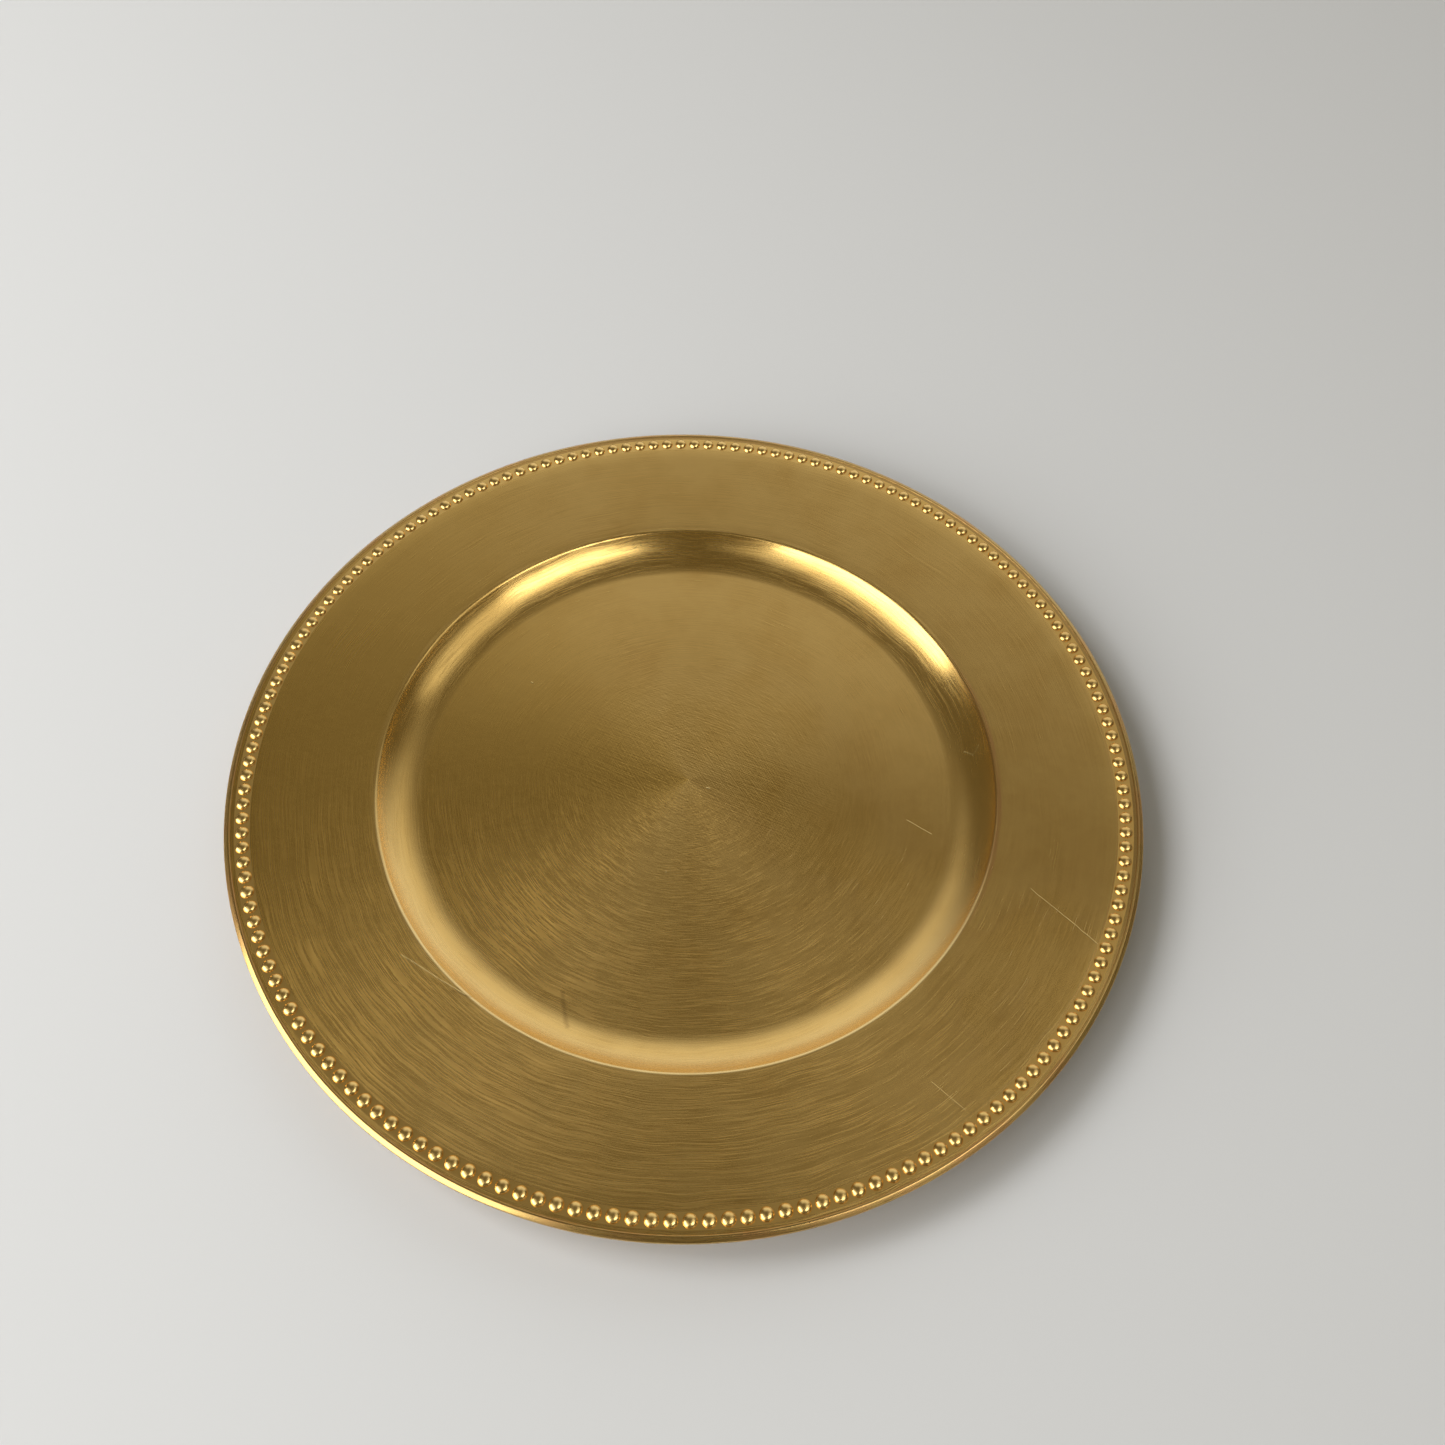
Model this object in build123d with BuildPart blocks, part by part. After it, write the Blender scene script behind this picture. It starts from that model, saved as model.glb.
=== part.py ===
"""Paten plate: a gilt brass altar plate with a beaded border, made of four soldered pieces.

A spun dish carries everything: flat floor, hollow cove, and a flange that rises gently to a level
seat at its edge. A stamped strip of beads lies in a groove in that seat, a wire takes the cut edge
of the sheet, and a turned ring under the floor holds the plate off the table. Millimetres, +Z up.
The origin is on the table, on the plate's axis.
"""

import os
from math import acos, atan, cos, degrees, pi, radians, sin, sqrt, tan

from build123d import *

# ---- overall and sheet
plate_radius = 165.0  # out to the side of the rim wire
sheet = 1.6  # thickness of the spun sheet, the same everywhere

# ---- well and flange
floor_radius = 96.6  # where the flat floor ends and the cove begins
well_depth = 8.2  # from the flange's inner edge down to the floor's top
cove_radius = 20.0  # hollow bend from the floor, on its top face
flange_slope = 3.8  # degrees, up from the well towards the border
seat_margin = 0.8  # level seat that shows inside the border

# ---- beaded border
bead_diameter = 4.7
bead_height = 1.3  # pressed beads are lower than half a ball
bead_gap = 1.13  # flat strip between one bead and the next
bead_sides = 6  # a bead is a faceted dome, which keeps a long row of them light
bead_girdle = 0.55  # share of the bead's height at which its facets break
strip_margin = 0.4  # strip that shows beside the beads, inside and outside
strip_thickness = 0.5  # also the depth of the groove that the strip lies in
border_setback = 1.25  # bare seat between the strip and the rim wire

# ---- rim wire
wire_width = 2.4
wire_rise = 0.3  # the wire's flat top over the seat
wire_bevel = 1.5  # width of the long outer bevel on top
wire_drop = 0.95  # height of that bevel
wire_relief = 0.7  # small bevel on the lower outer edge
ledge_width = 1.4  # how far the wire reaches in under the sheet
ledge_thickness = 0.8

# ---- foot ring
foot_height = 4.0  # from the table to the underside of the floor
foot_width = 3.0
foot_splay = 0.6  # how far the ring leans out on its way down
foot_setback = 2.5  # from the end of the flat floor in to the ring's soldered face
foot_bevel = 0.6  # on the two edges that meet the table

# ---- heights and radii that follow
floor_top = foot_height + sheet
edge_radius = plate_radius - wire_width  # the sheet's cut edge, against the wire
strip_outer = edge_radius - border_setback
strip_inner = strip_outer - bead_diameter - 2 * strip_margin
seat_radius = strip_inner - seat_margin  # where the slope ends and the level seat begins
bead_circle = (strip_outer + strip_inner) / 2
bead_count = round(2 * pi * bead_circle / (bead_diameter + bead_gap))

# The sheet is spun over a chuck with a crisp corner, so the shoulder's top face turns on a radius of
# one sheet, about that corner. The cove bends up until the corner is as high as the depth asks.
slope = radians(flange_slope)
bend = acos((cove_radius + sheet * cos(slope) - well_depth) / (cove_radius + sheet))
corner_radius = floor_radius + (cove_radius + sheet) * sin(bend)
mouth_radius = corner_radius - sheet * sin(slope)
flange_top = floor_top + well_depth + (seat_radius - mouth_radius) * tan(slope)
flange_under = flange_top - sheet

# ---- dish: the line of the top face, the same line one sheet lower, turned round the axis
with BuildPart() as dish:
    with BuildSketch(Plane.XZ):
        with BuildLine():
            floor = Line((0, floor_top), (floor_radius, floor_top))
            cove = JernArc(floor @ 1, floor % 1, cove_radius, degrees(bend))
            shoulder = JernArc(cove @ 1, cove % 1, sheet, degrees(slope - bend))
            flange = Line(shoulder @ 1, (seat_radius, flange_top))
            seat = Line(flange @ 1, (edge_radius, flange_top))
            cut_edge = Line(seat @ 1, (edge_radius, flange_under))
            floor_back = Line((0, foot_height), (floor_radius, foot_height))
            cove_back = JernArc(
                floor_back @ 1, floor_back % 1, cove_radius + sheet, degrees(bend)
            )
            seat_back = Line(
                cut_edge @ 1, (seat_radius + sheet * tan(slope / 2), flange_under)
            )
            Line(cove_back @ 1, seat_back @ 1)
            Line(floor_back @ 0, floor @ 0)
        make_face()
    revolve(axis=Axis.Z)
    # the groove that the beaded strip is let into
    with BuildSketch(Plane.XY.offset(flange_top)):
        Circle(strip_outer)
        Circle(strip_inner, mode=Mode.SUBTRACT)
    extrude(amount=-strip_thickness, mode=Mode.SUBTRACT)
dish.part.label = "dish"

# ---- one bead: half an ellipsoid in two rows of flat facets, with its point at the top
girdle_height = bead_girdle * bead_height
girdle_radius = bead_diameter / 2 * sqrt(1 - bead_girdle**2)
facet_reach = (bead_diameter / 2 - girdle_radius) * cos(pi / bead_sides)
with BuildPart() as bead:
    with BuildSketch():
        RegularPolygon(bead_diameter / 2, bead_sides)
    extrude(amount=girdle_height, taper=degrees(atan(facet_reach / girdle_height)))
    girdle = bead.faces().sort_by(Axis.Z)[-1]
    loft([girdle, Vertex(0, 0, bead_height)], ruled=True)

# ---- beaded border: a flat strip level with the seat, with the beads standing on it
with BuildPart() as bead_border:
    with BuildSketch(Plane.XY.offset(flange_top)):
        Circle(strip_outer)
        Circle(strip_inner, mode=Mode.SUBTRACT)
    extrude(amount=-strip_thickness)
    with Locations((0, 0, flange_top)):
        with PolarLocations(bead_circle, bead_count):
            add(bead.part)
bead_border.part.label = "bead_border"

# ---- rim wire: hammered down nearly level with the seat, with a long outer bevel that turns down,
# and a ledge under the sheet's edge
wire_top = flange_top + wire_rise
wire_bottom = flange_under - ledge_thickness
with BuildPart() as rim_wire:
    with BuildSketch(Plane.XZ):
        Polygon(
            (edge_radius, flange_top),
            (edge_radius + min(wire_rise, (wire_width - wire_bevel) / 2), wire_top),
            (plate_radius - wire_bevel, wire_top),
            (plate_radius, wire_top - wire_drop),
            (plate_radius, wire_bottom + wire_relief),
            (plate_radius - wire_relief, wire_bottom),
            (edge_radius - ledge_width, wire_bottom),
            (edge_radius - ledge_width, flange_under),
            (edge_radius, flange_under),
            align=None,
        )
    revolve(axis=Axis.Z)
rim_wire.part.label = "rim_wire"

# ---- foot ring: splayed ring, bevelled where it meets the table
foot_outer = floor_radius - foot_setback
foot_inner = foot_outer - foot_width
with BuildPart() as foot_ring:
    with BuildSketch(Plane.XZ) as foot_section:
        Polygon(
            (foot_inner, foot_height),
            (foot_outer, foot_height),
            (foot_outer + foot_splay, 0),
            (foot_inner + foot_splay, 0),
            align=None,
        )
        chamfer(foot_section.vertices().group_by(Axis.Y)[0], length=foot_bevel)
    revolve(axis=Axis.Z)
foot_ring.part.label = "foot_ring"

os.makedirs("parts", exist_ok=True)
export_step(dish.part, "parts/dish.step")
export_step(bead_border.part, "parts/bead_border.step")
export_step(rim_wire.part, "parts/rim_wire.step")
export_step(foot_ring.part, "parts/foot_ring.step")
print("beads:", bead_count, "on radius", round(bead_circle, 2), "- bend", round(degrees(bend), 1), "degrees")
print("well mouth radius", round(mouth_radius, 2), "seat", round(flange_top, 2))
print("height over all", round(flange_top + bead_height, 2))
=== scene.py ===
# %% [markdown]
# # A gilt paten with a beaded border
# This notebook dresses a church plate in Blender. The plate itself, with every size that matters,
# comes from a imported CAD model. Here its four pieces get surfaces fine enough for a close look, and
# a finish: brass that was gilded and then rubbed with a brush, round and round, by hand.

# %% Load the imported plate
import math

import bpy
import mathutils
import numpy as np
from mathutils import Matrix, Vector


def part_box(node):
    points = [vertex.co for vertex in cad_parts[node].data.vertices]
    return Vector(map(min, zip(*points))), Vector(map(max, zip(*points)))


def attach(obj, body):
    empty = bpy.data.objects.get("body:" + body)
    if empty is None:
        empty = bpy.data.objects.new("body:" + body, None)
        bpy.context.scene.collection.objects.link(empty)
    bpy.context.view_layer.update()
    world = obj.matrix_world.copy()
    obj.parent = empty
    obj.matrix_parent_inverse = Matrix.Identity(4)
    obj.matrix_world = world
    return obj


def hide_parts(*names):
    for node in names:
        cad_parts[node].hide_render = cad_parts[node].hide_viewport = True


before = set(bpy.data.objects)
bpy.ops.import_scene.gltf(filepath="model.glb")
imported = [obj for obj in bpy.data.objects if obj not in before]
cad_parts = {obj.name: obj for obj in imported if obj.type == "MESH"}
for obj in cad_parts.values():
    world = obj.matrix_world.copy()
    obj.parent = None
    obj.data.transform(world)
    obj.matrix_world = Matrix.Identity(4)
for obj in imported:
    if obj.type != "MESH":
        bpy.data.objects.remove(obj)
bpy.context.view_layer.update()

mm = 0.001

# %% [markdown]
# ## Sizes
# Heights and outer radii are read from the boxes of the CAD nodes, so the surfaces made here can't
# drift away from the solids. What a box can't tell, such as the radius of a bend, is named here.

# %% Sizes of the plate
dish_low, dish_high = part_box("dish")
wire_low, wire_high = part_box("rim_wire")
border_low, border_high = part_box("bead_border")
foot_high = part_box("foot_ring")[1]

sheet = 1.6 * mm
floor_under = dish_low[2]
floor_top = floor_under + sheet
flange_top = dish_high[2]
edge_radius = dish_high[0]
plate_radius = wire_high[0]
strip_outer = border_high[0]
strip_under = border_low[2]
bead_height = border_high[2] - flange_top

floor_radius = 96.6 * mm
well_depth = 8.2 * mm
cove_radius = 20 * mm
flange_slope = math.radians(3.8)
seat_margin = 0.8 * mm
bead_diameter = 4.7 * mm
bead_gap = 1.13 * mm
strip_width = 5.5 * mm
ledge_width = 1.4 * mm
foot_width = 3 * mm
foot_lean = 0.5 * mm
foot_round = 0.6 * mm
print("flange at", round(flange_top / mm, 2), "mm, floor at", round(floor_top / mm, 2), "mm")

# %% [markdown]
# ## Camera
# The camera looks down on the plate from the side of the table where a person would stand, at arm's
# length and with a slight roll, as a hand holds it. It aims at a place beyond the plate's centre
# and a little to its right, so the plate sits low and left of the middle.

# %% Camera
def axes_of_view(elevation, roll):
    """Right, up and back vectors of a camera that looks along +Y and down by the elevation, then
    rolled about its line of sight. Back is (0, -cos e, sin e); right is X; up is back x right."""
    back = np.array([0, -math.cos(elevation), math.sin(elevation)])
    right = np.array([1.0, 0, 0])
    up = np.cross(back, right)
    turned_right = math.cos(roll) * right + math.sin(roll) * up
    turned_up = -math.sin(roll) * right + math.cos(roll) * up
    return turned_right, turned_up, back


camera_data = bpy.data.cameras.new("camera")
camera_data.sensor_width = 36
camera_data.lens = 32.975  # millimetres, for that sensor
camera = bpy.data.objects.new("camera", camera_data)
bpy.context.collection.objects.link(camera)
bpy.context.scene.camera = camera

view_target = np.array([11.4 * mm, 18.7 * mm, flange_top + 0.6 * mm])
view_distance = 491.7 * mm
view_elevation, view_roll = math.radians(57.97), math.radians(3.25)
right, up, back = axes_of_view(view_elevation, view_roll)
camera_pose = np.eye(4)
camera_pose[:3, :3] = np.column_stack([right, up, back])
camera_pose[:3, 3] = view_target + back * view_distance
camera.matrix_world = mathutils.Matrix(camera_pose.tolist())
print("camera at", [round(float(c) / mm) for c in camera_pose[:3, 3]], "mm from the plate's foot")

# %% [markdown]
# ## Shapes as grids of points
# Every piece of a plate like this is turned or stamped, so each can be written as a function of two
# parameters: how far along the section, and how far round the axis. Worked out as whole arrays,
# that is one line per coordinate. The mesh then only has to be told which points are neighbours.

# %% Meshes from grids
def grid_faces(rows, columns, closed_rows):
    """Quads of a grid whose columns run round and close; its rows close as well where asked.
    The point in row i and column j has the number i * columns + j."""
    row_count = rows if closed_rows else rows - 1
    row, column = np.meshgrid(np.arange(row_count), np.arange(columns), indexing="ij")
    next_row, next_column = (row + 1) % rows, (column + 1) % columns
    corners = (row, column), (next_row, column), (next_row, next_column), (row, next_column)
    return np.stack([i * columns + j for i, j in corners], axis=-1).reshape(-1, 4)


def make_piece(name, points, faces, node, crease=75):
    """One closed mesh object that stands for a CAD node and rides with the plate. It is shaded
    smooth, apart from edges where it turns by more than the crease, in degrees."""
    mesh = bpy.data.meshes.new(name)
    mesh.from_pydata(points.tolist(), [], faces)
    mesh.validate()
    mesh.shade_smooth()
    mesh.set_sharp_from_angle(angle=math.radians(crease))
    piece = bpy.data.objects.new(name, mesh)
    bpy.context.collection.objects.link(piece)
    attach(piece, "root")
    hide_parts(node)
    print(name, "has", len(mesh.polygons), "faces")
    return piece


around = 384  # straight sides that stand for a full circle


def turned(section):
    """Turns a section of (radius, height) points round Z: x = r cos t, y = r sin t, z = h."""
    turn = np.linspace(0, 2 * np.pi, around, endpoint=False)
    radius, height = section[:, :1], section[:, 1:]
    x, y = radius * np.cos(turn), radius * np.sin(turn)
    return np.stack([x, y, np.broadcast_to(height, x.shape)], axis=-1).reshape(-1, 3)


def arc(centre, radius, start, end, steps):
    """Points (centre + radius cos a, centre + radius sin a) for angles a from start to end, given
    in degrees."""
    angle = np.radians(np.linspace(start, end, steps))
    return np.column_stack([centre[0] + radius * np.cos(angle), centre[1] + radius * np.sin(angle)])


def straight(start, end, steps):
    """Evenly spaced points from start to end, both included."""
    share = np.linspace(0, 1, steps)[:, None]
    return np.array(start) * (1 - share) + np.array(end) * share


# %% [markdown]
# ## The dish
# A spinner presses a brass disc over a turning wooden chuck. What comes off has the same thickness
# everywhere, so its underside is the top's line, one sheet lower. The line is a flat floor, an arc
# that rises out of it, a tight arc over the shoulder, a flange that climbs gently outwards, and a
# narrow level seat for the border. The angle at which the cove ends follows from its depth.

# %% Dish
corner_above_floor = well_depth - sheet * math.cos(flange_slope)
bend = math.acos((cove_radius - corner_above_floor) / (cove_radius + sheet))
cove_centre = (floor_radius, floor_top + cove_radius)
corner = (floor_radius + (cove_radius + sheet) * math.sin(bend), floor_top + corner_above_floor)
mouth_radius = corner[0] - sheet * math.sin(flange_slope)
strip_inner = strip_outer - strip_width
seat_radius = strip_inner - seat_margin
flange_under = flange_top - sheet
seat_under = seat_radius + sheet * math.tan(flange_slope / 2)
bend_degrees, slope_degrees = math.degrees(bend), math.degrees(flange_slope)

top_line = [
    straight((0, floor_top), (floor_radius, floor_top), 12),
    arc(cove_centre, cove_radius, -90, bend_degrees - 90, 32),
    arc(corner, sheet, bend_degrees + 90, slope_degrees + 90, 12),
    straight((mouth_radius, floor_top + well_depth), (seat_radius, flange_top), 10),
    straight((seat_radius, flange_top), (strip_inner, flange_top), 2),
]
groove = np.array(
    [(strip_inner, strip_under), (strip_outer, strip_under), (strip_outer, flange_top)]
)
edge = np.array([(edge_radius, flange_top), (edge_radius, flange_under)])
under_line = [
    straight((seat_under, flange_under), corner, 10),
    arc(cove_centre, cove_radius + sheet, bend_degrees - 90, -90, 32),
    straight((floor_radius, floor_under), (0, floor_under), 12),
]
print("bend", round(bend_degrees, 1), "degrees, mouth", round(mouth_radius / mm, 2), "mm")


def joined(*stretches):
    """Stretches of a section end to end, each point that repeats the one before it left out."""
    line = np.vstack(stretches)
    step = np.linalg.norm(np.diff(line, axis=0), axis=1)
    return line[np.concatenate([[True], step > 1e-9])]


def turned_with_poles(section):
    """Points and faces of a turned section that starts and ends on the axis. Each end is one point
    with a fan of triangles; in between lies a grid of quads."""
    middle = section[1:-1]
    points = np.vstack([turned(middle), [(0, 0, section[0, 1])], [(0, 0, section[-1, 1])]])
    first, last = len(points) - 2, len(points) - 1
    j = np.arange(around)
    k = (j + 1) % around
    base = (len(middle) - 1) * around
    start_fan = np.column_stack([np.full(around, first), j, k])
    end_fan = np.column_stack([np.full(around, last), base + k, base + j])
    quads = grid_faces(len(middle), around, closed_rows=False)
    return points, quads.tolist() + start_fan.tolist() + end_fan.tolist()


dish_section = joined(*top_line, groove, edge, *under_line)
dish_points, dish_faces = turned_with_poles(dish_section)
dish = make_piece("spun_dish", dish_points, dish_faces, "dish")

# %% [markdown]
# ## The beaded border
# The border is one strip with a dome every few millimetres. It could be a dome copied round a
# circle and joined to the strip, but then the foot of every dome is a seam. Here the strip is one
# grid instead. Each dome has its own cell, and the cell's square rings of points are bent into
# circles, so that grid lines run round the dome and up to its top.

# %% Beaded border
bead_circle = strip_outer - strip_width / 2
bead_count = round(2 * math.pi * bead_circle / (bead_diameter + bead_gap))
bead_rings = 4  # square rings of points in a cell; the outermost stays on the cell's edge
ring_radius = np.array([0, 0.6, 0.9, 1.0]) * bead_diameter / 2


def dome_height(distance):
    """Height of half an ellipsoid over its foot: h sqrt(1 - (d / a)^2), for foot radius a and
    height h. Pressed beads are flatter on top and steeper at the foot than a ball."""
    share = np.clip(distance / (bead_diameter / 2), 0, 1)
    return bead_height * np.sqrt(1 - share**2)


def bead_cell():
    """Places (along, across, up) for one cell's points. A point in square ring m, counted by the
    larger of its two indices, goes to the circle of ring m at the angle that its place along the
    square's side gives; the outermost ring keeps its square."""
    index = np.arange(-bead_rings, bead_rings)
    across_index = np.arange(-bead_rings, bead_rings + 1)
    a, b = np.meshgrid(index, across_index, indexing="ij")
    ring = np.maximum(abs(a), abs(b))
    larger = np.where(ring == 0, 1, ring)
    side_angle = np.pi / 4 * np.where(abs(a) >= abs(b), b, a) / larger
    along_unit = np.where(abs(a) >= abs(b), np.sign(a) * np.cos(side_angle), np.sin(side_angle))
    across_unit = np.where(abs(a) >= abs(b), np.sin(side_angle), np.sign(b) * np.cos(side_angle))
    radius = np.append(ring_radius, 0)[ring]
    pitch = 2 * np.pi * bead_circle / bead_count
    on_edge = ring == bead_rings
    along = np.where(on_edge, a / bead_rings * pitch / 2, along_unit * radius)
    across = np.where(on_edge, b / bead_rings * strip_width / 2, across_unit * radius)
    up = np.where(on_edge, 0, dome_height(radius))
    return along, across, up


def bead_strip():
    """The cells laid round the circle: angle = cell number * step + along / circle radius, and
    radius = circle radius + across. Two more rows close the strip underneath."""
    along, across, up = bead_cell()
    step = 2 * np.pi / bead_count
    turn = np.arange(bead_count)[:, None, None] * step + along / bead_circle
    radius = np.broadcast_to(bead_circle + across, turn.shape)
    height = np.broadcast_to(flange_top + up, turn.shape)
    columns = bead_count * 2 * bead_rings
    turn, radius, height = (v.reshape(columns, -1).T for v in (turn, radius, height))
    under = np.full((1, columns), strip_under)
    turn = np.vstack([turn, turn[-1:], turn[:1]])
    radius = np.vstack([radius, radius[-1:], radius[:1]])
    height = np.vstack([height, under, under])
    points = np.stack([radius * np.cos(turn), radius * np.sin(turn), height], axis=-1)
    return points.reshape(-1, 3), grid_faces(len(turn), columns, closed_rows=True)


strip_points, strip_faces = bead_strip()
beads = make_piece("beaded_strip", strip_points, strip_faces.tolist(), "bead_border", crease=45)
print("beads:", bead_count)

# %% [markdown]
# ## Rim wire and foot ring
# Both are rings with a small section. The wire grips the sheet's cut edge. On top it is hammered
# until it stands only a little over the seat, and outside it turns down in a wide bevel, which
# catches a line of light along part of the plate. The section is a few straight lines whose corners
# are rounded, because a sharp edge on worn metal looks false. The foot is out of sight until the
# plate is turned over, but without one the plate would lie flat on the table.

# %% Rim wire
wire_top, wire_bottom = wire_high[2], wire_low[2]
bevel_width, bevel_drop = 1.5 * mm, 0.95 * mm
ledge_inner = edge_radius - ledge_width


def rounded(corners, cuts, steps=5):
    """A line through corners with each inner corner rounded: the curve runs from one cut to the
    next as (1 - t)^2 A + 2 t (1 - t) B + t^2 C, where B is the corner and A and C lie a cut's
    length away from it along its two sides."""
    t = np.linspace(0, 1, steps)[:, None]
    corners = np.array(corners, dtype=float)
    line = [corners[:1]]
    for before, here, after, cut in zip(corners, corners[1:], corners[2:], cuts):
        a = here + (before - here) * cut / np.linalg.norm(before - here)
        c = here + (after - here) * cut / np.linalg.norm(after - here)
        line.append((1 - t) ** 2 * a + 2 * t * (1 - t) * here + t**2 * c)
    return np.vstack(line + [corners[-1:]])


wire_corners = [
    (edge_radius, flange_top), (edge_radius + (wire_top - flange_top), wire_top),
    (plate_radius - bevel_width, wire_top), (plate_radius, wire_top - bevel_drop),
    (plate_radius, wire_bottom), (ledge_inner, wire_bottom), (ledge_inner, flange_under),
]
corner_cuts = np.array([0.2, 0.15, 0.3, 0.7, 0.2]) * mm
wire_section = joined(rounded(wire_corners, corner_cuts), [(edge_radius, flange_under)])
wire_faces = grid_faces(len(wire_section), around, closed_rows=True).tolist()
wire = make_piece("rim_band", turned(wire_section), wire_faces, "rim_wire")

# %% Foot ring
foot_outer, foot_inner = foot_high[0], foot_high[0] - foot_width
foot_section = joined(
    [(foot_inner - foot_lean, foot_high[2]), (foot_outer - foot_lean, foot_high[2])],
    arc((foot_outer - foot_round, foot_round), foot_round, 0, -90, 6),
    arc((foot_inner + foot_round, foot_round), foot_round, -90, -180, 6),
)
foot_faces = grid_faces(len(foot_section), around, closed_rows=True).tolist()
foot = make_piece("turned_foot", turned(foot_section), foot_faces, "foot_ring")

# %% [markdown]
# ## The gilt finish
# Gold leaf or gold wash on brass mirrors what is round it, blurred by the brush. The blur has a
# direction: along a stroke the metal stays smooth, across it the metal is rough. That is what
# anisotropy means, and on a plate brushed in rings it draws each light out into a streak that
# points at the centre. The strokes that can be seen one by one are a relief instead: a noise that
# is stretched round the plate, with wider grooves among the fine ones, and it feeds a bump.

# %% Helpers for node trees
def add_node(tree, kind, inputs=None, **settings):
    """Adds a node, sets its properties by name and its input sockets by name or number."""
    made = tree.nodes.new(kind)
    for key, value in settings.items():
        setattr(made, key, value)
    for key, value in (inputs or {}).items():
        if isinstance(value, bpy.types.NodeSocket):
            tree.links.new(value, made.inputs[key])
        else:
            made.inputs[key].default_value = value
    return made


def math_node(tree, operation, *values):
    """Result socket of a Math node; a value is a number or a socket."""
    return add_node(tree, "ShaderNodeMath", dict(enumerate(values)), operation=operation).outputs[0]


def product(tree, first, *others):
    """Result socket of several values multiplied together."""
    for value in others:
        first = math_node(tree, "MULTIPLY", first, value)
    return first


def sum_with(tree, base, value, share):
    """Result socket of base + value * share."""
    return math_node(tree, "MULTIPLY_ADD", value, share, base)


def ramp(tree, value, low, high, to_low=0.0, to_high=1.0, smooth=False):
    """Result socket of a clamped Map Range node, straight or with soft ends."""
    sockets = {
        "Value": value, "From Min": low, "From Max": high, "To Min": to_low, "To Max": to_high
    }
    kind = "SMOOTHSTEP" if smooth else "LINEAR"
    return add_node(tree, "ShaderNodeMapRange", sockets, interpolation_type=kind).outputs[0]


def new_group(name, inputs, outputs):
    """Node group with float inputs (name: default) and named float outputs."""
    group = bpy.data.node_groups.new(name, "ShaderNodeTree")
    for label, value in inputs.items():
        socket = group.interface.new_socket(label, in_out="INPUT", socket_type="NodeSocketFloat")
        socket.default_value = value
    for label in outputs:
        group.interface.new_socket(label, in_out="OUTPUT", socket_type="NodeSocketFloat")
    return group, group.nodes.new("NodeGroupInput"), group.nodes.new("NodeGroupOutput")


# %% Brush strokes that run round the plate
def noise_node(tree, vector, scale=1.0, detail=2.0):
    """Smooth noise from 0 to 1 at a place that is multiplied by scale."""
    sockets = {"Vector": vector, "Scale": scale, "Detail": detail, "Roughness": 0.55}
    return add_node(tree, "ShaderNodeTexNoise", sockets).outputs[0]


def make_brushed_rings():
    """Group that works out the marks of a brush held against a turning plate.
    Strokes is noise at (c x / r, c y / r, r / w): it changes fast with the radius r, over a
    stroke's width w, and slowly round the plate, over 1 / c of a radian. The radius is first
    shifted a little by a slow noise, so that the strokes waver. Grooves is the same noise, about
    twice as wide and twice as long. Patches is plain noise at the scale of a hand's pressure."""
    group, given, out = new_group(
        "brushed rings",
        {"Stroke width": 0.0005, "Stroke turn": 8.0, "Waver": 0.003, "Patch size": 0.02},
        ("Strokes", "Grooves", "Patches", "Radius", "Facing X", "Facing Y"),
    )
    place = add_node(group, "ShaderNodeTexCoord").outputs["Object"]
    flat = add_node(
        group, "ShaderNodeVectorMath", {0: place, 1: (1, 1, 0)}, operation="MULTIPLY"
    ).outputs[0]
    radius = add_node(group, "ShaderNodeVectorMath", {0: flat}, operation="LENGTH").outputs["Value"]
    facing = add_node(group, "ShaderNodeVectorMath", {0: flat}, operation="NORMALIZE").outputs[0]
    face = add_node(group, "ShaderNodeSeparateXYZ", {0: facing}).outputs
    sway = math_node(group, "SUBTRACT", noise_node(group, place, 45.0, 1.0), 0.5)
    wavy_radius = sum_with(group, radius, sway, given.outputs["Waver"])

    def lanes(turn, width, offset):
        """Place for a noise that is stretched round the plate."""
        lane = math_node(group, "DIVIDE", wavy_radius, width)
        x = sum_with(group, offset, face[0], turn)
        y = product(group, face[1], turn)
        return add_node(group, "ShaderNodeCombineXYZ", {"X": x, "Y": y, "Z": lane}).outputs[0]

    turn, width = given.outputs["Stroke turn"], given.outputs["Stroke width"]
    half_turn = product(group, turn, 0.5)
    wide = product(group, width, 2.2)
    patch_scale = math_node(group, "DIVIDE", 1.0, given.outputs["Patch size"])
    results = {
        "Strokes": noise_node(group, lanes(turn, width, 0.0)),
        "Grooves": noise_node(group, lanes(half_turn, wide, 37.0)),
        "Patches": noise_node(group, place, patch_scale, 4.0),
        "Radius": radius, "Facing X": face[0], "Facing Y": face[1],
    }
    for label, socket in results.items():
        group.links.new(socket, out.inputs[label])
    return group


def straight_strokes(tree, azimuth, length, width):
    """Noise stretched along one direction: the place is turned, then divided by the length and the
    width of a stroke."""
    place = add_node(tree, "ShaderNodeTexCoord").outputs["Object"]
    turned = add_node(
        tree, "ShaderNodeVectorRotate", {"Vector": place, "Angle": -math.radians(azimuth)},
        rotation_type="Z_AXIS",
    ).outputs[0]
    cell = add_node(
        tree, "ShaderNodeVectorMath", {0: turned, 1: (1 / length, 1 / width, 0)},
        operation="MULTIPLY",
    ).outputs[0]
    return noise_node(tree, cell)


brushed_rings = make_brushed_rings()
print("group:", brushed_rings.name)

# %% [markdown]
# ## Marks of use
# A plate that has been handled has a few scratches. Each is a short line, so the group below
# measures how far a point lies from a line between two places, and fades it out over a width. The
# same measure serves a thin bright scratch and a broad soft smudge. A little noise moves the point
# first, because a hand doesn't scratch a straight line.

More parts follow.
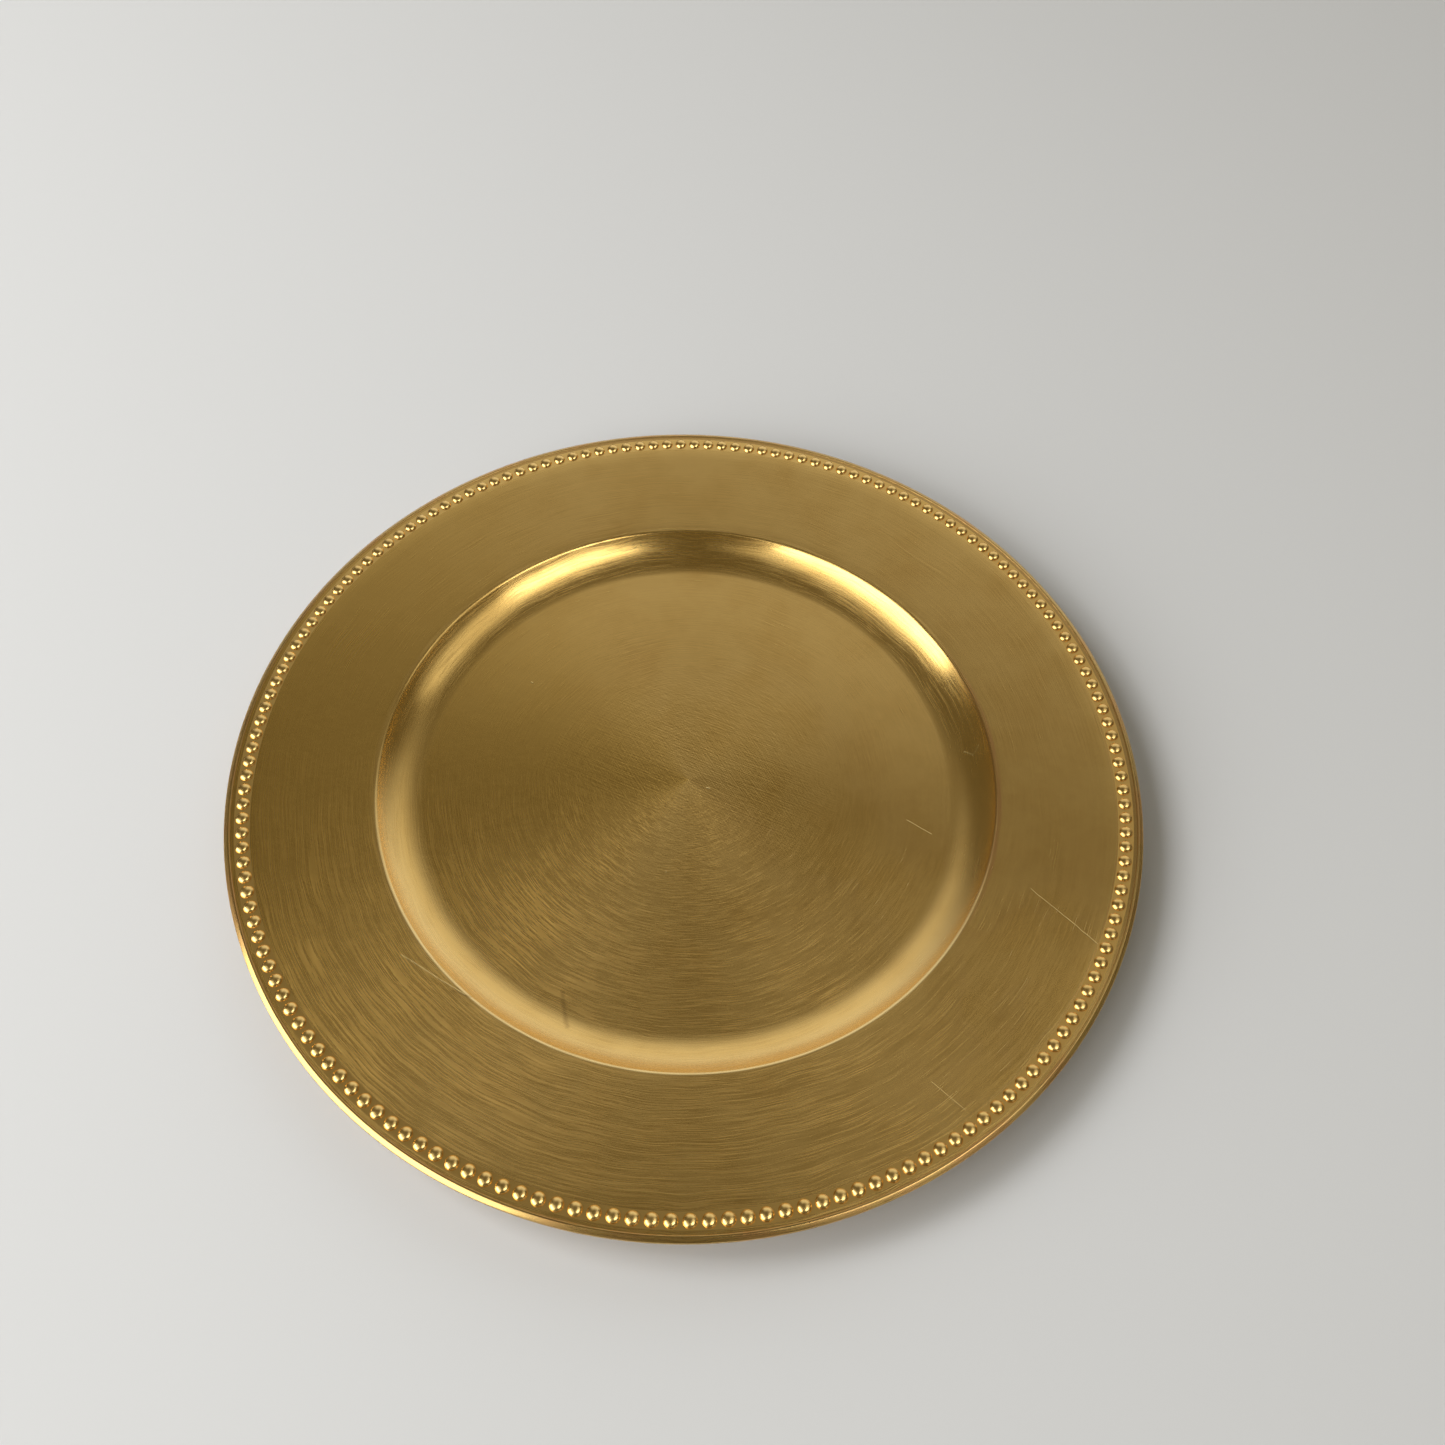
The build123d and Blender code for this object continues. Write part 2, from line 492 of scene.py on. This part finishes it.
# %% Scratches
def make_scratch():
    """Group: 1 on the line from A to B, falling to 0 at a distance of one width. The nearest point
    of the line is A + t (B - A), where t = (P - A).(B - A) / |B - A|^2, held between 0 and 1."""
    group, given, out = new_group(
        "scratch", {"A x": 0.0, "A y": 0.0, "B x": 0.01, "B y": 0.0, "Width": 0.0003}, ("Line",)
    )
    place = add_node(group, "ShaderNodeTexCoord").outputs["Object"]
    sway = add_node(
        group, "ShaderNodeTexNoise", {"Vector": place, "Scale": 220.0, "Detail": 1.0}
    ).outputs["Color"]
    moved = add_node(
        group, "ShaderNodeVectorMath", {0: sway, 1: (0.0005, 0.0005, 0), 2: place},
        operation="MULTIPLY_ADD",
    ).outputs[0]

    def vector(operation, first, second):
        """Vector Math node with two vectors."""
        return add_node(group, "ShaderNodeVectorMath", {0: first, 1: second}, operation=operation)

    def place_of(x, y):
        """Place on the plate from two of the group's inputs."""
        sockets = {"X": given.outputs[x], "Y": given.outputs[y]}
        return add_node(group, "ShaderNodeCombineXYZ", sockets).outputs[0]

    a, b = place_of("A x", "A y"), place_of("B x", "B y")
    point = vector("MULTIPLY", moved, (1, 1, 0)).outputs[0]
    from_a = vector("SUBTRACT", point, a).outputs[0]
    along = vector("SUBTRACT", b, a).outputs[0]
    dot = vector("DOT_PRODUCT", from_a, along).outputs["Value"]
    square = vector("DOT_PRODUCT", along, along).outputs["Value"]
    t = ramp(group, math_node(group, "DIVIDE", dot, square), 0.0, 1.0)
    scaled = {0: along, "Scale": t}
    nearest = add_node(group, "ShaderNodeVectorMath", scaled, operation="SCALE").outputs[0]
    distance = vector("DISTANCE", from_a, nearest).outputs["Value"]
    line = ramp(group, distance, given.outputs["Width"], 0.0, smooth=True)
    group.links.new(line, out.inputs["Line"])
    return group


scratch = make_scratch()
print("group:", scratch.name)


def polar(azimuth, radius):
    """Place on the plate at an angle in degrees and a radius in millimetres, in metres."""
    turn = math.radians(azimuth)
    return radius * mm * math.cos(turn), radius * mm * math.sin(turn)


def scratch_mask(tree, marks):
    """The strongest of several scratches, each (start, end, width), with places as (azimuth,
    radius) and widths in millimetres."""
    mask = None
    for start, end, width in marks:
        node = add_node(tree, "ShaderNodeGroup", node_tree=scratch)
        for socket, value in zip(node.inputs, (*polar(*start), *polar(*end), width * mm)):
            socket.default_value = value
        line = node.outputs[0]
        mask = line if mask is None else math_node(tree, "MAXIMUM", mask, line)
    return mask


# %% Gilt metal
def mixed_colour(tree, share, first, second):
    """Colour socket: first where share is 0, second where it is 1."""
    return add_node(
        tree, "ShaderNodeMix", {0: share, 6: first, 7: second}, data_type="RGBA"
    ).outputs[2]


def left_shade_colour(tree, east, colour, share):
    """Painted shade: darker, redder gold on the side that is turned to -X, where share lets it."""
    shade_share = product(tree, ramp(tree, east, -0.4, -1.0, 0.0, 0.9), share)
    return mixed_colour(tree, shade_share, colour, shaded_gold)


def new_gilt(name, stroke_width):
    """Empty material with the brushed rings group in it."""
    material = bpy.data.materials.new(name)
    material.use_nodes = True
    tree = material.node_tree
    tree.nodes.clear()
    rings = add_node(tree, "ShaderNodeGroup", node_tree=brushed_rings)
    rings.inputs["Stroke width"].default_value = stroke_width
    return material, tree, rings.outputs


def finish_gilt(tree, colour, roughness, height, relief, anisotropy):
    """Principled metal whose bump has the given relief between height 0 and 1."""
    bump = add_node(
        tree, "ShaderNodeBump", {"Strength": 1.0, "Distance": relief, "Height": height}
    ).outputs[0]
    metal = add_node(
        tree, "ShaderNodeBsdfPrincipled",
        {
            "Base Color": colour, "Roughness": roughness, "Normal": bump, "Metallic": 1.0,
            "Anisotropic": anisotropy, "Anisotropic Rotation": 0.25,
        },
    )
    add_node(tree, "ShaderNodeOutputMaterial", {"Surface": metal.outputs[0]})


gold = (0.83, 0.55, 0.18, 1)
deep_gold = (0.74, 0.47, 0.14, 1)
# darker, redder gold that paints shade on the left side of the dish
shaded_gold = (0.70, 0.44, 0.11, 1)
dull_gold = (0.62, 0.41, 0.14, 1)
copper = (0.68, 0.36, 0.14, 1)
# bright_gold is pale metal in scratches, and also painted highlight on beads and painted reflection
# in the cove
bright_gold = (0.93, 0.72, 0.34, 1)
# brown is smudges, and also painted shade in the gutter and in the rim wire's corner
brown = (0.34, 0.20, 0.07, 1)
print("golds from pale to brown:", [round(c[0], 2) for c in (bright_gold, gold, shaded_gold, brown)])

# %% [markdown]
# ## Gilt of the dish
# One material covers the whole dish, so it first needs to know where on the dish a point is. Masks
# made from the radius and from the side that the point faces answer that. The finish is then put
# together from four questions: how deep the brush cut, what scratched the plate later, what colour
# the metal has, and how rough it is.

# %% Zones of the dish
def dish_zones(tree, rings):
    """Masks for the parts of the dish. Cove is 1 on the bend between floor and flange. Flats is
    1 - 0.65 cove. Corner says how far a point faces the near left: -0.6 x - 0.8 y of the unit
    vector that points away from the axis. Rubbed is where a cloth went straight across: patches
    of the flats at that corner, and the middle of the floor."""
    radius, patches = rings["Radius"], rings["Patches"]
    cove = product(
        tree, ramp(tree, radius, floor_radius - 1 * mm, floor_radius + 5 * mm, smooth=True),
        ramp(tree, radius, mouth_radius, mouth_radius + 2 * mm, 1.0, 0.0, smooth=True),
    )
    flats = sum_with(tree, 1.0, cove, -0.65)
    corner = sum_with(tree, product(tree, rings["Facing Y"], -0.80), rings["Facing X"], -0.60)
    rubbed = product(
        tree, ramp(tree, corner, 0.72, 0.97, smooth=True), ramp(tree, patches, 0.30, 0.60), flats
    )
    middle = ramp(tree, radius, 60 * mm, 15 * mm, 0.0, 1.4)
    rubbed = math_node(tree, "MAXIMUM", rubbed, middle)
    return {"cove": cove, "flats": flats, "corner": corner, "rubbed": rubbed}


# %% Depth of the strokes
def brush_pressure(tree, rings, zones):
    """How hard the brush was pressed, from 0.2 to 1: in patches, most at the near left corner, and
    also on the far side of the cove."""
    pressure = product(
        tree, ramp(tree, rings["Patches"], 0.35, 0.60, 0.45, 1.0),
        ramp(tree, zones["corner"], 0.1, 0.95, 0.45, 1.0),
    )
    far_cove = product(tree, zones["cove"], ramp(tree, rings["Facing Y"], -0.1, 0.4))
    return math_node(tree, "MAXIMUM", pressure, far_cove)


def stroke_height(tree, rings, zones, pressure):
    """Relief of the brush: (strokes + 0.7 grooves) times the pressure, plus two sets of straight
    strokes that cross each other where the cloth went across."""
    round_strokes = sum_with(tree, rings["Strokes"], rings["Grooves"], 0.7)
    height = product(tree, round_strokes, product(tree, pressure, zones["flats"]))
    crossed = math_node(
        tree, "ADD", straight_strokes(tree, 338, 9 * mm, 0.6 * mm),
        straight_strokes(tree, 303, 7 * mm, 0.6 * mm),
    )
    return sum_with(tree, height, product(tree, crossed, zones["rubbed"]), 0.7)


# %% Scratches, specks and smudges of the dish
bright_scratches = [
    ((220.5, 120), (228, 115.2), 0.3), ((228, 115.2), (233, 113.2), 0.3),
    ((341.6, 129), (339, 143), 0.13), ((339, 143), (337, 155.5), 0.2),
    ((307.4, 140), (308.5, 153), 0.16), ((352, 82), (349.5, 91.5), 0.16),
    ((10, 105), (8.6, 107.6), 0.28), ((8.6, 107.6), (10.3, 110), 0.28),
]
bright_specks = [
    ((147.9, 74), (147.9, 74.6), 0.4), ((262, 38), (262, 38.6), 0.35),
    ((340, 7.6), (341, 8.8), 0.4),
]
dark_smudges = [
    ((231, 115.0), (234, 112.3), 0.7), ((246.4, 92.5), (249.9, 101.5), 1.2),
    ((249.0, 99), (250.6, 102.5), 1.3),
]
print("marks:", len(bright_scratches) + len(bright_specks) + len(dark_smudges))


# %% Colour of the dish
def worn_edge(tree, rings):
    """Share of bare copper along the cove's upper edge, mostly on the right, broken by strokes."""
    radius, east, north = rings["Radius"], rings["Facing X"], rings["Facing Y"]
    from_edge = math_node(tree, "ABSOLUTE", math_node(tree, "SUBTRACT", radius, mouth_radius))
    edge = ramp(tree, from_edge, 1.8 * mm, 0.3 * mm, smooth=True)
    to_right = ramp(tree, east, 0.80, 1.0, smooth=True)
    to_front = ramp(tree, north, -0.2, -0.9, 0.0, 0.03, smooth=True)
    side = math_node(tree, "MAXIMUM", to_right, to_front)
    return product(tree, edge, side, ramp(tree, rings["Strokes"], 0.3, 0.55), 0.8)


def near_cove_reflection(tree, rings, zones):
    """Share of paler gold on the near side of the cove, a painted reflection of the pale wall beyond
    the plate. It grows up to the mouth and ends there."""
    radius = rings["Radius"]
    return product(
        tree, ramp(tree, rings["Facing Y"], 0.1, -0.6),
        ramp(tree, radius, mouth_radius - 9 * mm, mouth_radius, 0.1, 0.85),
        ramp(tree, radius, mouth_radius - 0.4 * mm, mouth_radius + 0.3 * mm, 1.0, 0.0, smooth=True),
        zones["cove"],
    )


def dish_colour(tree, rings, zones, bright, dark):
    """Gold in two tones by patches, with painted shade on the left, paler on the near side of the
    cove as a painted reflection, coppery along the cove's edge, brown in smudges and as painted shade
    in the gutter beside the border, pale in scratches."""
    radius = rings["Radius"]
    colour = mixed_colour(tree, ramp(tree, rings["Patches"], 0.40, 0.75), gold, deep_gold)
    colour = left_shade_colour(tree, rings["Facing X"], colour, zones["flats"])
    # Painted reflection: paler gold on the near side of the cove.
    colour = mixed_colour(tree, near_cove_reflection(tree, rings, zones), colour, bright_gold)
    colour = mixed_colour(tree, worn_edge(tree, rings), colour, copper)
    # Painted shade: brown in the gutter beside the border, most where it faces away from the near
    # left.
    gutter = ramp(tree, radius, strip_outer - 0.2 * mm, strip_outer + 0.3 * mm, smooth=True)
    gutter_shade = product(tree, gutter, ramp(tree, zones["corner"], 0.3, -0.6, 0.0, 0.6))
    colour = mixed_colour(tree, sum_with(tree, gutter_shade, dark, 0.42), colour, brown)
    return mixed_colour(tree, product(tree, bright, 0.9), colour, bright_gold)


# %% Roughness of the dish
def dish_roughness(tree, rings, zones, pressure):
    """A base of 0.235, more where strokes are strong and pressed, a little more at the near left
    corner and where it was rubbed, and less towards the middle of the floor."""
    strength = sum_with(tree, product(tree, rings["Strokes"], 0.65), rings["Grooves"], 0.35)
    roughness = sum_with(tree, 0.235, ramp(tree, strength, 0.43, 0.68, -0.03, 0.13), pressure)
    by_corner = ramp(tree, zones["corner"], -0.5, 0.9, -0.015, 0.02)
    roughness = sum_with(tree, roughness, by_corner, zones["flats"])
    by_middle = ramp(tree, rings["Radius"], 15 * mm, 75 * mm, -0.045, 0.0)
    roughness = math_node(tree, "ADD", by_middle, roughness)
    return sum_with(tree, roughness, zones["rubbed"], 0.025)


def gilt_of_dish():
    """Brushed gold of the dish, put together from the four answers."""
    material, tree, rings = new_gilt("gilt dish", 0.38 * mm)
    zones = dish_zones(tree, rings)
    pressure = brush_pressure(tree, rings, zones)
    bright = scratch_mask(tree, bright_scratches + bright_specks)
    dark = scratch_mask(tree, dark_smudges)
    height = sum_with(tree, stroke_height(tree, rings, zones, pressure), bright, 0.6)
    colour = dish_colour(tree, rings, zones, bright, dark)
    roughness = dish_roughness(tree, rings, zones, pressure)
    finish_gilt(tree, colour, roughness, height, relief=0.06 * mm, anisotropy=0.8)
    return material


# %% [markdown]
# ## Gilt of the border, the rim and the foot
# The border's colour and roughness go by height over the seat, and the crowns of the beads get a
# painted highlight. The turned rings need less: gold with a little copper coming through in patches,
# and a dull corner with painted shade where the wire meets the seat.

# %% Gilt of the border
def gilt_of_border():
    """Gold by height: the strip is satin, the foot of each bead coppery, the crown paler as a painted
    highlight; deeper gold towards +X is painted shade.
    """
    material, tree, rings = new_gilt("gilt beads", 0.6 * mm)
    patches = rings["Patches"]
    place = add_node(tree, "ShaderNodeTexCoord").outputs["Object"]
    up = add_node(tree, "ShaderNodeSeparateXYZ", {0: place}).outputs["Z"]
    foot_of_bead = product(
        tree, ramp(tree, up, flange_top, flange_top + 0.12 * mm, smooth=True),
        ramp(tree, up, flange_top + 0.15 * mm, flange_top + 0.5 * mm, 1.0, 0.0, smooth=True),
        ramp(tree, patches, 0.3, 0.6, 0.15, 0.6),
    )
    # Painted highlight: paler gold towards the top of each bead.
    crown_highlight = ramp(tree, up, flange_top + 0.3 * mm, flange_top + 0.8 * mm, 0.0, 0.2, smooth=True)
    # Painted shade: the beads turn to deeper gold towards +X.
    colour = mixed_colour(tree, ramp(tree, rings["Facing X"], 0.0, 0.9), gold, deep_gold)
    colour = mixed_colour(tree, crown_highlight, colour, bright_gold)
    colour = mixed_colour(tree, foot_of_bead, colour, copper)
    roughness = math_node(
        tree, "MAXIMUM", ramp(tree, patches, 0.35, 0.65, 0.23, 0.28),
        ramp(tree, up, flange_top, flange_top + 0.1 * mm, 0.32, 0.23),
    )
    finish_gilt(tree, colour, roughness, rings["Strokes"], relief=0.004 * mm, anisotropy=0.0)
    return material


# %% Gilt of the rim and the foot
def gilt_of_ring(name, rough, corner=0.0):
    """Gold of a turned ring, with copper coming through in patches, and rougher and brown, as painted
    shade, inside the radius of a corner."""
    material, tree, rings = new_gilt(name, 0.5 * mm)
    thin = ramp(tree, rings["Patches"], 0.48, 0.62, 0.0, 0.5)
    # Painted shade, and more roughness, in the corner where the wire meets the seat.
    dull_and_shaded = ramp(tree, rings["Radius"], corner + 0.1 * mm, corner - 0.1 * mm, 0.0, 0.7)
    colour = mixed_colour(tree, thin, dull_gold, copper)
    colour = mixed_colour(tree, dull_and_shaded, colour, brown)
    roughness = ramp(tree, rings["Strokes"], 0.3, 0.7, rough - 0.03, rough + 0.04)
    roughness = sum_with(tree, roughness, dull_and_shaded, 0.25)
    finish_gilt(tree, colour, roughness, rings["Strokes"], relief=0.006 * mm, anisotropy=0.5)
    return material


# %% Finishes put on
gilt_dish = gilt_of_dish()
gilt_beads = gilt_of_border()
gilt_wire = gilt_of_ring("gilt wire", 0.27, edge_radius + 0.25 * mm)
gilt_foot = gilt_of_ring("gilt foot", 0.33)
finishes = (
    (dish, gilt_dish, "brushed_gilt"), (beads, gilt_beads, "bead_gilt"),
    (wire, gilt_wire, "wire_gilt"), (foot, gilt_foot, "foot_gilt"),
)
for piece, finish, slot in finishes:
    piece.data.materials.append(finish)
print("finishes:", [finish.name for piece, finish, slot in finishes])

# %% [markdown]
# ## Paper, lamps and air
# A plain stage: flat pale paper, and a large soft light at the left, as from a window, with a dim
# wall over it. Metal shows what it mirrors, so a smaller light and a lit wall stand at the right,
# and the air is bright beyond the plate and dark overhead. Those on the right are kept off the
# paper, which leaves the shadow beside the plate soft and deep.

# %% Paper
paper_half = 2.0  # metres from the plate's axis to each side
paper_points = np.array([(-1, -1, 0), (1, -1, 0), (1, 1, 0), (-1, 1, 0)]) * paper_half
paper_mesh = bpy.data.meshes.new("paper")
paper_mesh.from_pydata(paper_points.tolist(), [], [(0, 1, 2, 3)])
paper = bpy.data.objects.new("paper", paper_mesh)
bpy.context.collection.objects.link(paper)

paper_material = bpy.data.materials.new("pale paper")
paper_material.use_nodes = True
paper_shader = paper_material.node_tree.nodes["Principled BSDF"]
paper_shader.inputs["Base Color"].default_value = (0.78, 0.79, 0.80, 1)
paper_shader.inputs["Roughness"].default_value = 0.6
paper_shader.inputs["Specular IOR Level"].default_value = 0.2
paper.data.materials.append(paper_material)
print("paper:", 2 * paper_half, "m across")

# %% Lamps
def soft_lamp(
    name, azimuth, elevation, distance, size, radiance, mirrored=True, on_paper=True
):
    """Rectangular lamp, width by height in metres, that faces the plate from a distance. Mirrored
    whole, a radiance of 1 shows as white. The power that gives it is pi * area * radiance."""
    data = bpy.data.lights.new(name, "AREA")
    data.shape = "RECTANGLE"
    data.size, data.size_y = size
    data.energy = math.pi * size[0] * size[1] * radiance
    lamp = bpy.data.objects.new(name, data)
    lamp.visible_glossy = mirrored
    lamp.visible_diffuse = on_paper
    bpy.context.collection.objects.link(lamp)
    a, e = math.radians(azimuth), math.radians(elevation)
    towards = mathutils.Vector((math.cos(a) * math.cos(e), math.sin(a) * math.cos(e), math.sin(e)))
    lamp.matrix_world = (
        mathutils.Matrix.Translation(towards * distance)
        @ towards.to_track_quat("Z", "Y").to_matrix().to_4x4()
    )
    print(name, round(data.energy, 1), "W")


soft_lamp("left window", 212, 22, 2.6, (2.8, 2.2), 4.0)
soft_lamp("wall over the window", 218, 55, 3.2, (2.6, 1.2), 0.75, on_paper=False)
soft_lamp("right window", 320, 52, 2.6, (1.35, 1.05), 3.1, on_paper=False)
soft_lamp("lit wall", 350, 56, 3.2, (2.8, 1.8), 0.85, on_paper=False)
soft_lamp("low window", 313, 8, 2.6, (0.7, 0.4), 1.0, on_paper=False)
soft_lamp("skylight", 172, 47, 2.0, (0.84, 0.84), 7.0, mirrored=False)

# %% Air
# A pale wall stands beyond the plate, round heading (0.14, 0.99). It is full up to 41 degrees over
# the horizon and gone at 63, and full within 22 degrees of its heading and gone at 53. The rest of
# the room is dark. Heights are compared as sines and headings as cosines.
world = bpy.data.worlds.new("air")
bpy.context.scene.world = world
world.use_nodes = True
sky = world.node_tree
sky.nodes.clear()
direction = add_node(sky, "ShaderNodeTexCoord").outputs["Generated"]
heading = add_node(sky, "ShaderNodeSeparateXYZ", {0: direction}).outputs
level = add_node(
    sky, "ShaderNodeVectorMath", {0: direction, 1: (1, 1, 0)}, operation="MULTIPLY"
).outputs[0]
level = add_node(sky, "ShaderNodeVectorMath", {0: level}, operation="NORMALIZE").outputs[0]
ahead = add_node(
    sky, "ShaderNodeVectorMath", {0: level, 1: (0.14, 0.99, 0)}, operation="DOT_PRODUCT"
).outputs["Value"]
low_share = ramp(sky, heading["Z"], 0.892, 0.66)
ahead_share = ramp(sky, ahead, 0.60, 0.93, smooth=True)
dark_room, pale_wall = (0.13, 0.11, 0.065, 1), (0.86, 0.85, 0.83, 1)
air_colour = mixed_colour(sky, product(sky, low_share, ahead_share), dark_room, pale_wall)
background = add_node(
    sky, "ShaderNodeBackground", {"Color": air_colour, "Strength": 1.0}
).outputs[0]
add_node(sky, "ShaderNodeOutputWorld", {"Surface": background})
print("air:", len(sky.nodes), "nodes")

# %% [markdown]
# ## Closing lines
# The view transform stays plain, so that a colour shows as it is written.

# %% Finish
bpy.context.scene.view_settings.view_transform = "Standard"
